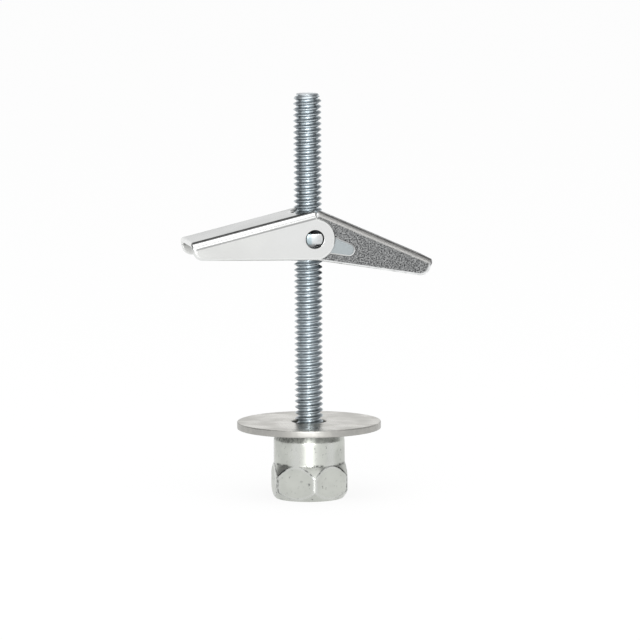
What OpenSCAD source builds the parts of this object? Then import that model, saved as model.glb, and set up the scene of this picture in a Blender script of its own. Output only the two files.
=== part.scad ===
// Spring toggle bolt that hangs a threaded rod from a hollow ceiling: a hexagonal coupler,
// a stud, a large washer, and two sprung wings that turn on the lugs of a nut.
// Millimetres. +Z runs up the stud, the wings open along X and turn about Y, and the origin
// is the centre of the coupler's bottom face.

/* [Stud] */
// Outside diameter of the stud's thread
stud_d = 6.25; // [5.95:0.05:6.35]
// Distance from one thread of the stud to the next
thread_pitch = 1.27; // [1:0.01:1.6]
// Length of the stud above the coupler
stud_rise = 74.2; // [66:0.2:110]
// Length of the stud screwed into the coupler
stud_seat = 5.6; // [4:0.1:6]
// Height of the bevel on the stud's free end
stud_bevel = 1.2; // [0.4:0.1:1.8]
// Diameter of the flat on the stud's free end
stud_tip_d = 4.8; // [4.2:0.1:5.6]
// Clearance round the stud in the coupler
seat_clearance = 0.05; // [0.02:0.01:0.1]

/* [Coupler] */
// Height of the coupler
coupler_h = 15.5; // [15.2:0.1:20]
// Size of the hexagon across its flats
hex_af = 15.875; // [15.75:0.025:17.25]
// Turn of the hexagon, from a corner on the X axis
hex_turn = 25; // [0:1:59]
// Diameter to which the hexagon's corners are turned
corner_d = 18; // [17:0.1:18.2]
// Diameter of the flat under the coupler
foot_d = 15; // [12.5:0.1:15.6]
// Height of the bevel round the coupler's bottom
foot_bevel = 2; // [0.8:0.1:3]
// Height at which the hexagon ends and the collar begins
shoulder_h = 7.9; // [7.2:0.1:10]
// Height of the sloping shoulder between hexagon and collar
shoulder_slope = 2.4; // [1.5:0.1:4]
// Diameter of the collar
collar_d = 15.7; // [14.4:0.1:15.7]
// Diameter of the flat on the collar's top
collar_top_d = 14.4; // [11:0.1:15]
// Height of the bevel round the collar's top
collar_bevel = 2.2; // [0.6:0.1:3]
// Diameter of the tapped hole for the hanging rod, over its thread
rod_hole_d = 9.7; // [9.5:0.05:10.2]
// Depth of the tapped hole for the hanging rod
rod_hole_depth = 9; // [7:0.1:9]
// Bevel at the mouth of the hole for the hanging rod
rod_hole_bevel = 0.4; // [0.2:0.1:0.8]

/* [Washer] */
// Outside diameter of the washer
washer_d = 31.75; // [26:0.25:40]
// Thickness of the washer
washer_t = 1.5; // [1:0.1:2.4]
// Clearance between the stud and the washer's hole, on each side
washer_clearance = 0.65; // [0.3:0.05:1]
// Bevel round the washer's edges
washer_bevel = 0.2; // [0.1:0.05:0.4]

/* [Nut] */
// Height of the pivot above the washer
pivot_rise = 41.25; // [34:0.25:46]
// Length of the nut along the wings
nut_l = 9.2; // [8.2:0.1:9.4]
// Diameter that rounds the corners of the nut's plate
nut_round_d = 10.4; // [9.6:0.1:11.4]
// Thickness of the nut's plate and of its lugs
lug_t = 2.4; // [1.8:0.1:2.8]
// Diameter of the rounded sides of the lugs
lug_d = 3.8; // [3.2:0.1:4]
// Depth of the lugs' ends below the wings' outer faces
lug_sunk = 0.3; // [0.1:0.1:0.8]
// Diameter of the drawn collar under the nut's plate
nut_collar_d = 8.8; // [7.8:0.1:9]
// Depth of the drawn collar under the nut's plate
nut_collar_h = 2.6; // [1.5:0.1:4]
// Clearance between the stud and the nut
nut_clearance = 0.1; // [0.05:0.01:0.15]

/* [Wings] */
// Width across both wings
toggle_w = 14; // [13.8:0.1:16]
// Thickness of the wings' sheet metal
sheet_t = 0.9; // [0.7:0.05:1]
// Gap between two cheeks that lie side by side
nest_gap = 0.35; // [0.3:0.05:0.5]
// Distance from the pivot to a wing's tip
wing_reach = 27.1; // [22:0.1:30]
// Distance from the pivot to the outside of a wing's back
back_rise = 6.1; // [5.8:0.05:7]
// Outside radius of the folds between a wing's back and its cheeks
fold_r = 1.4; // [1.1:0.1:2]
// Radius of the round end of a cheek
eye_r = 4.7; // [4:0.1:4.8]
// Clearance between a lug and its hole
lug_clearance = 0.12; // [0.08:0.01:0.3]
// Slope of a cheek's lower edge towards the back
cheek_taper = 14.5; // [8:0.5:16]
// Radius of the lower corner at a wing's tip
tip_r = 2.2; // [0.8:0.1:2.4]
// Clearance round the stud in the slot of a wing's back
slot_clearance = 0.5; // [0.3:0.05:0.7]
// Height to which the pressed tongue stands out of a cheek
tongue_h = 0.25; // [0.1:0.05:0.25]
// Distance from the pivot to the start of the tongue
tongue_start = 3.3; // [2.6:0.1:4.5]
// Height of the tongue's upper edge above the pivot
tongue_top = 2.3; // [1.9:0.1:3]
// Distance of the tongue's lower edge below the pivot
tongue_low = 2.8; // [2.4:0.1:3.2]
// Radius of the tongue's round end
tongue_r = 1.5; // [1.3:0.05:1.6]
// Droop of the left wing from level
left_droop = 12.8; // [8:0.2:30]
// Droop of the right wing from level
right_droop = 24.4; // [8:0.2:30]
// Gap between the ends of the two backs where they stop each other
stop_gap = 0.15; // [0.1:0.05:0.4]

/* [Spring] */
// Diameter of the spring wire
wire_d = 0.45; // [0.3:0.05:0.45]
// Clearance beside each coil of the spring
coil_gap = 0.05; // [0.03:0.01:0.08]
// Clearance between a lug and the coil round it
coil_clearance = 0.3; // [0.15:0.05:0.6]
// Distance from the pivot at which the spring presses on a wing's back
leg_reach = 9; // [6:0.5:16]
// Radius of the bends beside the spring's cross wire
wire_bend_r = 0.9; // [0.5:0.1:2]

/* [Hidden] */
$fn = 96;
slack = 1;

stud_r = stud_d / 2;

// The stud's thread: 60 degree grooves at the thread's pitch, each a ring of its own, from the coupler to the bevelled end.
// A groove is drawn as [depth, height] from its middle, with an eighth of the pitch left flat on the crests.
thread_turns = floor((stud_rise - stud_bevel) / thread_pitch);
thread_depth = 0.6134 * thread_pitch;
groove_half = thread_pitch * 7 / 16;
root_half = groove_half - thread_depth * tan(30);
groove = [[0, -groove_half], [thread_depth, -root_half], [thread_depth, root_half], [0, groove_half]];

pivot_z = coupler_h + washer_t + pivot_rise;
hex_corner_r = hex_af / (2 * cos(30));
washer_hole_r = stud_r + washer_clearance;

// Across the toggle: the outer cheek, the inner cheek, the room for a coil, and the nut
plain_y = toggle_w / 2;
tongue_y = plain_y - sheet_t - nest_gap;
cheek_in_y = tongue_y - sheet_t;
coil_room = 2 * wire_d + 3 * coil_gap;
nut_w = 2 * (cheek_in_y - coil_room);

// Along a wing: the back ends at a stop, and the cheeks taper to the tip
half_spread = (left_droop + right_droop) / 2;
back_in = back_rise - sheet_t;
wing_tail = back_in * tan(half_spread) - stop_gap / (2 * cos(half_spread));
low_edge = eye_r / cos(cheek_taper);
tip_low = wing_reach * tan(cheek_taper) - low_edge;
tip_u = wing_reach - tip_r;
tip_v = tip_u * tan(cheek_taper) - low_edge + tip_r / cos(cheek_taper);
slot_r = stud_r + slot_clearance;
least_droop = min(left_droop, right_droop);
slot_u = (stud_r - back_in * sin(least_droop)) / cos(least_droop) + slot_clearance - slot_r;
pivot_hole_d = lug_d + 2 * lug_clearance;

// The tongue's edges run beside the back and beside the lower edge, to one round end
tongue_v = tongue_top - tongue_r;
tongue_edge = tongue_low / cos(cheek_taper);
tongue_u = (tongue_v + tongue_edge - tongue_r / cos(cheek_taper)) / tan(cheek_taper);
tongue_side = [tongue_u + tongue_r * sin(cheek_taper), tongue_v - tongue_r * cos(cheek_taper)];

// The spring: a coil round each lug, a free leg under one back and a cross wire under the other
coil_r = lug_d / 2 + coil_clearance + wire_d / 2;
coil_in_y = nut_w / 2 + coil_gap + wire_d / 2;
coil_out_y = cheek_in_y - coil_gap - wire_d / 2;
leg_v = back_in - coil_gap - wire_d / 2;
coil_steps = 32;
bend_steps = 5;
wire_sides = 8;
left_end = [-leg_reach * cos(left_droop) - leg_v * sin(left_droop), leg_v * cos(left_droop) - leg_reach * sin(left_droop)];
right_end = [leg_reach * cos(right_droop) + leg_v * sin(right_droop), leg_v * cos(right_droop) - leg_reach * sin(right_droop)];
coil_from = atan2(left_end[1], left_end[0]) - acos(coil_r / norm(left_end));
coil_to = atan2(right_end[1], right_end[0]) + acos(coil_r / norm(right_end)) - 360;
leg_dir = [cos(coil_to - 90), sin(coil_to - 90)];
bend_at = right_end - wire_bend_r * leg_dir;

function unit(a) = a / norm(a);
function radial(angle) = [cos(angle), 0, sin(angle)];
function coil_angle(k) = coil_from + (coil_to - coil_from) * k / coil_steps;
function coil_y(k) = coil_in_y + (coil_out_y - coil_in_y) * k / coil_steps;
function coil_point(k) = coil_r * radial(coil_angle(k)) + [0, coil_y(k), 0];
function bend_point(k) = let (turn = 90 * k / bend_steps, p = bend_at + wire_bend_r * sin(turn) * leg_dir)
    [p[0], coil_out_y - wire_bend_r * (1 - cos(turn)), p[1]];

// Half of the wire as pairs of a centre point and a direction square to the wire
half_wire = concat(
    [[[left_end[0], coil_in_y, left_end[1]], radial(coil_from)]],
    [for (k = [0 : coil_steps]) [coil_point(k), radial(coil_angle(k))]],
    [for (k = [0 : bend_steps]) [bend_point(k), radial(coil_to)]]
);
other_half = [for (k = [len(half_wire) - 1 : -1 : 0]) let (w = half_wire[k]) [[w[0][0], -w[0][1], w[0][2]], w[1]]];
wire = concat(half_wire, other_half);
last_ring = len(wire) - 1;

function wire_run(k) = unit(wire[min(k + 1, last_ring)][0] - wire[max(k - 1, 0)][0]);
function wire_ring(k) = let (run = wire_run(k), side = unit(cross(run, wire[k][1])), up = cross(side, run))
    [for (s = [0 : wire_sides - 1]) let (turn = 360 * s / wire_sides)
        wire[k][0] + wire_d / 2 * (cos(turn) * up + sin(turn) * side)];
wire_points = [for (k = [0 : last_ring]) each wire_ring(k)];
wire_faces = concat(
    [[for (s = [0 : wire_sides - 1]) s]],
    [for (k = [0 : last_ring - 1], s = [0 : wire_sides - 1])
        let (a = k * wire_sides + s, b = k * wire_sides + (s + 1) % wire_sides)
            [a, a + wire_sides, b + wire_sides, b]],
    [[for (s = [wire_sides - 1 : -1 : 0]) last_ring * wire_sides + s]]
);

// Turned form of the coupler, cut to a hexagon and bored from both ends
module rod_coupler() {
    color("gainsboro") difference() {
        intersection() {
            rotate_extrude() polygon([
                [0, 0],
                [foot_d / 2, 0],
                [corner_d / 2, foot_bevel],
                [corner_d / 2, shoulder_h - shoulder_slope],
                [collar_d / 2, shoulder_h],
                [collar_d / 2, coupler_h - collar_bevel],
                [collar_top_d / 2, coupler_h],
                [0, coupler_h]
            ]);
            rotate([0, 0, hex_turn]) cylinder(r = hex_corner_r, h = coupler_h, $fn = 6);
        }
        translate([0, 0, -slack]) cylinder(d = rod_hole_d, h = rod_hole_depth + slack);
        cylinder(d1 = rod_hole_d + 2 * rod_hole_bevel, d2 = rod_hole_d, h = rod_hole_bevel);
        translate([0, 0, coupler_h - stud_seat]) cylinder(r = stud_r + seat_clearance, h = stud_seat + slack);
    }
}

module threaded_stud() {
    stud_top = coupler_h + stud_rise;
    color("lightsteelblue") rotate_extrude() polygon(concat(
        [[0, coupler_h - stud_seat], [stud_r, coupler_h - stud_seat]],
        [for (k = [0 : thread_turns - 1], p = groove) [stud_r - p[0], coupler_h + (k + 0.5) * thread_pitch + p[1]]],
        [[stud_r, stud_top - stud_bevel], [stud_tip_d / 2, stud_top], [0, stud_top]]
    ));
}

module fender_washer() {
    color("lightgray") translate([0, 0, coupler_h]) rotate_extrude() polygon([
        [washer_hole_r, washer_bevel],
        [washer_hole_r + washer_bevel, 0],
        [washer_d / 2 - washer_bevel, 0],
        [washer_d / 2, washer_bevel],
        [washer_d / 2, washer_t - washer_bevel],
        [washer_d / 2 - washer_bevel, washer_t],
        [washer_hole_r + washer_bevel, washer_t],
        [washer_hole_r, washer_t - washer_bevel]
    ]);
}

// Stamped plate with a drawn collar below it and a lug at each end of the pivot
module trunnion_nut() {
    lug_span = toggle_w - 2 * lug_sunk;
    color("darkgray") translate([0, 0, pivot_z]) difference() {
        union() {
            translate([0, 0, -lug_t / 2]) linear_extrude(lug_t) intersection() {
                square([nut_l, nut_w], center = true);
                circle(d = nut_round_d);
            }
            translate([0, 0, -lug_t / 2 - nut_collar_h]) linear_extrude(nut_collar_h + lug_t / 2) intersection() {
                square([nut_l, nut_w], center = true);
                circle(d = nut_collar_d);
            }
            intersection() {
                rotate([90, 0, 0]) cylinder(d = lug_d, h = lug_span, center = true);
                cube([nut_l, lug_span, lug_t], center = true);
            }
        }
        translate([0, 0, -nut_l]) cylinder(r = stud_r + nut_clearance, h = 2 * nut_l);
    }
}

module wing_spring() {
    color("dimgray") translate([0, 0, pivot_z]) polyhedron(points = wire_points, faces = wire_faces);
}

// Solid channel form across a wing, with rounded upper edges
module channel(from_y, to_y, top, r) {
    depth = eye_r + slack;
    translate([from_y, -depth]) square([to_y - from_y, depth + top - r]);
    translate([from_y + r, -depth]) square([to_y - from_y - 2 * r, depth + top]);
    translate([from_y + r, top - r]) circle(r = r);
    translate([to_y - r, top - r]) circle(r = r);
}

// Side view of a wing: the eye round the pivot, the back above and the taper to the tip
module cheek_outline() {
    difference() {
        union() {
            circle(r = eye_r);
            polygon([
                [-wing_tail, 0],
                [-wing_tail, back_rise],
                [wing_reach, back_rise],
                [wing_reach, tip_low],
                [eye_r * sin(cheek_taper), -eye_r * cos(cheek_taper)],
                [0, 0]
            ]);
        }
        difference() {
            polygon([
                [tip_u, tip_v],
                [tip_u + 2 * tip_r, tip_v],
                [tip_u + 2 * tip_r, tip_v - 2 * tip_r],
                [tip_u + 2 * tip_r * sin(cheek_taper), tip_v - 2 * tip_r * cos(cheek_taper)]
            ]);
            translate([tip_u, tip_v]) circle(r = tip_r);
        }
    }
}

module tongue_outline() {
    polygon([
        [tongue_start, tongue_start * tan(cheek_taper) - tongue_edge],
        tongue_side,
        [tongue_u, tongue_v],
        [tongue_u, tongue_top],
        [tongue_start, tongue_top]
    ]);
    translate([tongue_u, tongue_v]) circle(r = tongue_r);
}

// One wing as it leaves the press, level, with its pivot on the Y axis and its tip on +X:
// the section across it meets the view from its side
module wing() {
    difference() {
        union() {
            intersection() {
                translate([-2 * eye_r, 0, 0]) rotate([90, 0, 90]) linear_extrude(wing_reach + 4 * eye_r) difference() {
                    channel(-tongue_y, plain_y, back_rise, fold_r);
                    channel(sheet_t - tongue_y, plain_y - sheet_t, back_in, fold_r - sheet_t);
                }
                translate([0, toggle_w, 0]) rotate([90, 0, 0]) linear_extrude(2 * toggle_w) cheek_outline();
            }
            translate([0, sheet_t / 2 - tongue_y, 0]) rotate([90, 0, 0]) linear_extrude(sheet_t / 2 + tongue_h) tongue_outline();
        }
        translate([0, sheet_t - tongue_y + slack, 0]) rotate([90, 0, 0]) linear_extrude(tongue_h + slack) tongue_outline();
        rotate([90, 0, 0]) cylinder(d = pivot_hole_d, h = 2 * toggle_w, center = true);
        translate([slot_u, 0, 0]) cylinder(r = slot_r, h = 2 * back_rise);
        translate([slot_u - 2 * wing_reach, -slot_r, 0]) cube([2 * wing_reach, 2 * slot_r, 2 * back_rise]);
    }
}

module left_wing() {
    color("whitesmoke") translate([0, 0, pivot_z]) rotate([0, 0, 180]) rotate([0, left_droop, 0]) wing();
}

module right_wing() {
    color("silver") translate([0, 0, pivot_z]) rotate([0, right_droop, 0]) wing();
}

rod_coupler();
threaded_stud();
fender_washer();
trunnion_nut();
wing_spring();
left_wing();
right_wing();
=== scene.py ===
# %% [markdown]
# # A spring toggle bolt
#
# The CAD frame holds the plain forms of the bolt, their places and their joints.
# In this lesson each form gets the surface that the real bolt has: a rolled thread, a turned and
# hexagonal coupler, a stamped washer, folded sheet-metal wings and a bent spring.
# Lengths are in millimetres, in the CAD's own directions: Z up the stud, X along the open wings and
# Y along their pivot. They become metres when a mesh is made.

# %% Load the frame
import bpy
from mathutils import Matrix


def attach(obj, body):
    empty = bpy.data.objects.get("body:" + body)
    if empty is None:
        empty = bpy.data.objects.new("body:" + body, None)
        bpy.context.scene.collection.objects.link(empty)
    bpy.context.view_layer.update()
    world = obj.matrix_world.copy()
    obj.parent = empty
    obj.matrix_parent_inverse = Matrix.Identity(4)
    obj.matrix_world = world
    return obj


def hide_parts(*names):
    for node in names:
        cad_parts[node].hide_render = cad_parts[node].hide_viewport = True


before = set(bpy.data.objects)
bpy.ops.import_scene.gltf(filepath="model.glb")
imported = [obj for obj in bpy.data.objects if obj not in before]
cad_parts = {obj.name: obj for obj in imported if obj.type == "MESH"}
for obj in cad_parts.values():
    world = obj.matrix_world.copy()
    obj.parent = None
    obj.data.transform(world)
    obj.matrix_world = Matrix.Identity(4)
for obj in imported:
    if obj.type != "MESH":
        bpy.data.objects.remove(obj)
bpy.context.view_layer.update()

# %% [markdown]
# ## The camera
#
# The bolt was photographed with a long lens, from a little to the left of the wings' front and a
# little above. A long lens far away keeps upright edges upright and the washer's ellipse even.
# The small roll about the view axis gives the stud the slight lean that it has in the picture.

# %% Camera
import bpy
import math
import numpy as np
from mathutils import Quaternion, Vector

MM = 0.001
AZIMUTH, ELEVATION, ROLL = -13.0, 7.6, -0.32
SENSOR, LENS, DISTANCE = 36.0, 510.0, 2.0
AIM_RIGHT, AIM_UP = 2.55 * MM, 39.5 * MM
scene = bpy.context.scene

def direction(azimuth, elevation):
    """Unit vector from the bolt towards an azimuth, 0 straight in front, and a height, both in degrees."""
    a, e = math.radians(azimuth), math.radians(elevation)
    return Vector((math.sin(a) * math.cos(e), -math.cos(a) * math.cos(e), math.sin(e)))

def stand(thing, target, away, distance):
    """Puts a camera or lamp at target + away * distance, where it looks back at the target."""
    thing.location = target + away * distance
    thing.rotation_mode = "QUATERNION"
    thing.rotation_quaternion = (-away).to_track_quat("-Z", "Y")
    scene.collection.objects.link(thing)

to_right = direction(AZIMUTH + 90.0, 0.0)
camera = bpy.data.objects.new("camera", bpy.data.cameras.new("camera"))
camera.data.sensor_width, camera.data.lens = SENSOR, LENS
stand(camera, to_right * AIM_RIGHT + Vector((0.0, 0.0, AIM_UP)), direction(AZIMUTH, ELEVATION), DISTANCE)
camera.rotation_quaternion = camera.rotation_quaternion @ Quaternion((0.0, 0.0, 1.0), math.radians(ROLL))
scene.camera = camera
print("camera at", [round(x, 3) for x in camera.location])

# %% [markdown]
# ## From arrays to a piece
#
# Every new piece is a surface on a grid: whole arrays of points come from a formula, and the grid's
# quads join them. Where a surface closes on itself its points fall together, so they are merged,
# and the faces are turned outward. A count of the edges that don't have two faces tells whether
# the surface is closed: it has to be nought.

# %% Grids and pieces
import bmesh

MERGE = 2e-7

def grid_faces(rows, columns, wrap_rows=False, wrap_columns=False):
    """Corner numbers of a grid's quads, as an array of row by column by corner.
    A quad's corners are (r, c), (r, c+1), (r+1, c+1) and (r+1, c), and a wrapped side returns to 0."""
    r = np.arange(rows if wrap_rows else rows - 1)[:, None]
    c = np.arange(columns if wrap_columns else columns - 1)
    r_next, c_next = (r + 1) % rows, (c + 1) % columns
    corners = [(r, c), (r, c_next), (r_next, c_next), (r_next, c)]
    return np.stack([row * columns + column for row, column in corners], axis=-1)

def make_piece(name, points, faces, body, replaced, marks=None, crease=45.0):
    """One piece from points in millimetres, quads and named numbers at the points.
    It rides on a CAD body, stands for CAD nodes, and stays sharp only at edges over the crease angle."""
    used, numbers = np.unique(faces.reshape(-1), return_inverse=True)
    mesh = bpy.data.meshes.new(name)
    mesh.from_pydata((points.reshape(-1, 3)[used] * MM).tolist(), [], numbers.reshape(-1, 4).tolist())
    for mark, values in (marks or {}).items():
        values = np.broadcast_to(values, points.shape[:-1]).ravel()[used].astype(np.float32)
        mesh.attributes.new(mark, "FLOAT", "POINT").data.foreach_set("value", values)
    work = bmesh.new()
    work.from_mesh(mesh)
    bmesh.ops.remove_doubles(work, verts=work.verts, dist=MERGE)
    bmesh.ops.recalc_face_normals(work, faces=work.faces)
    work.to_mesh(mesh)
    work.free()
    mesh.shade_smooth()
    mesh.set_sharp_from_angle(angle=math.radians(crease))
    piece = bpy.data.objects.new(name, mesh)
    scene.collection.objects.link(piece)
    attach(piece, body)
    if replaced:
        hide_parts(*replaced)
    edge_of_corner = np.zeros(len(mesh.loops), int)
    mesh.loops.foreach_get("edge_index", edge_of_corner)
    open_edges = int((np.bincount(edge_of_corner, minlength=len(mesh.edges)) != 2).sum())
    print(name, "faces", len(mesh.polygons), "open edges", open_edges)
    return piece

print("a tube of 3 rings of 8 points has", grid_faces(3, 8, wrap_columns=True)[..., 0].size, "quads")

# %% [markdown]
# ## The stud's rolled thread
#
# The stud is quarter-inch rod with twenty threads to the inch, rolled between dies, so its crests
# and roots are slightly round and it climbs to the right. A displaced cylinder would cut across
# the thread and make the crests ragged. Here the grid itself is sheared along the helix: each grid
# row follows one level of the thread, from crest to root, all the way round and up, and where it
# comes back to the start it joins the row one pitch higher.

# %% Thread surface
PITCH, STUD_R, THREAD_DEPTH = 1.27, 3.125, 0.77
STUD_LOW, STUD_TOP, STUD_SIDES = 9.9, 89.7, 56
POINT_R, POINT_BEVEL = 2.4, 1.2
FIRST_CREST, CREST_HALF, FLANK, ROUNDING = 0.44, 0.03, 0.40, 0.04
HALF_LEVELS = np.array([0.03, 0.07, 0.14, 0.23, 0.32, 0.39, 0.43])

def full_turn(count):
    """Evenly spaced angles of one full turn, in radians."""
    return 2 * np.pi * np.arange(count) / count

def xyz(x, y, z):
    """Points from three values that broadcast together."""
    return np.stack(np.broadcast_arrays(x, y, z), axis=-1)

def around(radius, angle, z):
    """Points (r cos a, r sin a, z) round the stud's axis."""
    return xyz(radius * np.cos(angle), radius * np.sin(angle), z)

def thread_depth(turns):
    """Depth under the crest, 0 to 1, at a height counted in pitches from a crest: 0 on the crest,
    1 in the root, and t - ROUNDING sin(2 pi t) between them, with t the share of the flank."""
    t = np.clip((np.abs(turns - np.round(turns)) - CREST_HALF) / FLANK, 0.0, 1.0)
    return t - ROUNDING * np.sin(2 * np.pi * t)

def screw_surface(columns):
    """Threaded rod: at angle a and height z the radius is
    STUD_R - THREAD_DEPTH * thread_depth(z / PITCH - a / 2 pi - FIRST_CREST).
    Row j lies at z = z_j + PITCH * a / 2 pi, held between the ends; the radius also stays inside
    the top's cone. A row on the axis closes either end. The share of the depth goes with the points."""
    levels = np.concatenate([[0.0], HALF_LEVELS, [0.5], 1 - HALF_LEVELS[::-1]])
    # A row climbs one pitch on its way round, so the rows begin under the low end and go on past the top.
    pitches = int(np.ceil((STUD_TOP - STUD_LOW) / PITCH)) + 3
    start = (np.floor(STUD_LOW / PITCH - FIRST_CREST) - 1.0 + FIRST_CREST) * PITCH
    heights = start + PITCH * (np.arange(pitches)[:, None] + levels).ravel()
    angle = full_turn(columns)
    z = np.clip(heights[:, None] + PITCH * angle / (2 * np.pi), STUD_LOW, STUD_TOP)
    share = thread_depth(z / PITCH - angle / (2 * np.pi) - FIRST_CREST)
    cone = POINT_R + (STUD_TOP - z) * (STUD_R - POINT_R) / POINT_BEVEL
    radius = np.minimum(STUD_R - THREAD_DEPTH * share, cone)
    both_ends = ((1, 1), (0, 0))
    radius, share, z = np.pad(radius, both_ends), np.pad(share, both_ends), np.pad(z, both_ends, mode="edge")
    rows, last = len(z), columns - 1
    row = np.arange(rows)
    higher = np.minimum(row + len(levels), rows - 2)
    higher[[0, -1]] = 0, rows - 1
    seam = np.stack([row[:-1] * columns + last, higher[:-1] * columns,
                     higher[1:] * columns, row[1:] * columns + last], axis=-1)
    faces = np.concatenate([grid_faces(rows, columns).reshape(-1, 4), seam])
    return around(radius, angle, z), faces, share

points, faces, share = screw_surface(STUD_SIDES)
stud = make_piece("stud_thread", points, faces, "hanger", ["threaded_stud"],
                  {"flank": np.sin(np.pi * share)}, crease=60.0)

# %% [markdown]
# ## Softened lines
#
# Turned, stamped and pressed steel has no perfectly sharp corner, and it is the small roundings that
# catch the light. A profile is drawn as a broken line; each corner gives way to a short curve, and
# long straight runs get extra points so that the grid stays even. Marks that come and go over a
# surface use a smooth step or a bell curve for the same reason.

# %% Softened lines and steps
def unit(vectors):
    """Vectors scaled to length 1."""
    return vectors / np.linalg.norm(vectors, axis=-1, keepdims=True)

def soften(corners, gap, steps=5):
    """Broken line with rounded corners, from rows of (radius, height, reach). A corner C becomes
    (1-t)^2 A + 2 t (1-t) C + t^2 B, with A and B on its two sides at the corner's reach.
    Points are then added along the line so that none are further apart than the gap."""
    corners = np.asarray(corners, float)
    line, reach = corners[:, :2], corners[1:-1, 2:, None]
    middle = line[1:-1, None]
    back, ahead = unit(line[:-2, None] - middle), unit(line[2:, None] - middle)
    t = np.linspace(0.0, 1.0, steps)[:, None]
    curves = middle + reach * (back * (1 - t) ** 2 + ahead * t ** 2)
    line = np.concatenate([line[:1], curves.reshape(-1, 2), line[-1:]])
    run = np.concatenate([[0.0], np.cumsum(np.linalg.norm(np.diff(line, axis=0), axis=1))])
    at = np.unique(np.concatenate([run, np.linspace(0.0, run[-1], int(run[-1] / gap) + 2)]).round(6))
    return np.stack([np.interp(at, run, column) for column in line.T], axis=-1)

def ramp(x, low, high):
    """Smooth step: 0 up to low, 1 from high, 3 t^2 - 2 t^3 between."""
    t = np.clip((x - low) / (high - low), 0.0, 1.0)
    return t * t * (3 - 2 * t)

def bell(x, middle, width):
    """Bell curve: exp(-((x - middle) / width)^2)."""
    return np.exp(-((x - middle) / width) ** 2)

print("a softened square corner has", len(soften([(0, 0, 0), (1, 0, 0.2), (1, 1, 0)], 1.0)), "points")

# %% [markdown]
# ## The rod coupler
#
# The coupler is cut from hexagonal bar: a lathe turns the collar, the sloping shoulder and the
# bevelled foot, and what the lathe doesn't reach stays flat, so every flat ends in a curve above
# and below. The surface does the same: its radius is the smaller of the turned profile and the
# hexagon, with a small smooth step between the two that rounds the edge as tumbling does.
# The turned profile comes first, as radius, height and reach of each rounded corner.

# %% Coupler profile
BORE_R, BORE_TOP, BORE_CHAMFER = 4.85, 9.0, 0.4
FOOT_R, FOOT_TOP, BAR_R = 7.5, 2.0, 9.0
SHOULDER_LOW, SHOULDER_TOP = 5.5, 7.9
COLLAR_R, COLLAR_TOP, BEVEL_R = 7.85, 12.95, 7.2
COUPLER_TOP, STUD_HOLE_R = 15.5, 3.175
COUPLER_GAP, COUPLER_SIDES = 0.21, 360

profile = soften([
    (0.0, BORE_TOP, 0.0), (BORE_R, BORE_TOP, 0.1), (BORE_R, BORE_CHAMFER, 0.1),
    (BORE_R + BORE_CHAMFER, 0.0, 0.1), (FOOT_R, 0.0, 0.3), (BAR_R, FOOT_TOP, 0.35),
    (BAR_R, SHOULDER_LOW, 0.3), (COLLAR_R, SHOULDER_TOP, 0.25), (COLLAR_R, COLLAR_TOP, 0.3),
    (BEVEL_R, COUPLER_TOP, 0.3), (STUD_HOLE_R, COUPLER_TOP, 0.08), (STUD_HOLE_R, STUD_LOW, 0.1),
    (0.0, STUD_LOW, 0.0)], COUPLER_GAP)
print("coupler profile points", len(profile))

# %% [markdown]
# The coupler carries a mark of painted shade, made of three places: the outline of each ear and the corner
# where it meets the collar, the collar's upper bevel in the washer's shadow, and the outline of the flats
# except at the front edge, which stands for dark reflections along them. For a step a pair says where it
# starts and ends, and for a bell curve where its middle is and how wide it is.

# %% Coupler surface
HEX_HALF, HEX_TURN = 15.875 / 2, 25.0
OUTER_R, EDGE_ROUND, EDGE_WIDTH = 6.8, 0.1, 0.16
EAR_LOW, EAR_HIGH, EAR_SIDE = (5.6, 6.2), (8.1, 8.5), (0.2, 0.32)
EAR_EDGE, EAR_TOP, EAR_INSIDE = (0.06, 0.09), (7.95, 0.25), (-0.1, 0.04)
BEVEL_RISE, BEVEL_INNER_R, BEVEL_SHARE, BEVEL_SWING = (COLLAR_TOP, 13.2), 7.0, 0.35, 0.3
FRONT_EDGE, FRONT_CLEAR = math.radians(HEX_TURN + 240), (0.1, 0.45)
FLAT_TOP, FLAT_EDGE, FLAT_SHARE = 8.0, (0.04, 0.08), 1.2

def smooth_smaller(a, b, width):
    """The smaller of a and b, rounded where they differ by less than the width:
    min(a, b) - h^2 / (4 width), with h = max(width - |a - b|, 0)."""
    h = np.maximum(width - np.abs(a - b), 0.0)
    return np.minimum(a, b) - h * h / (4 * width)

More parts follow.
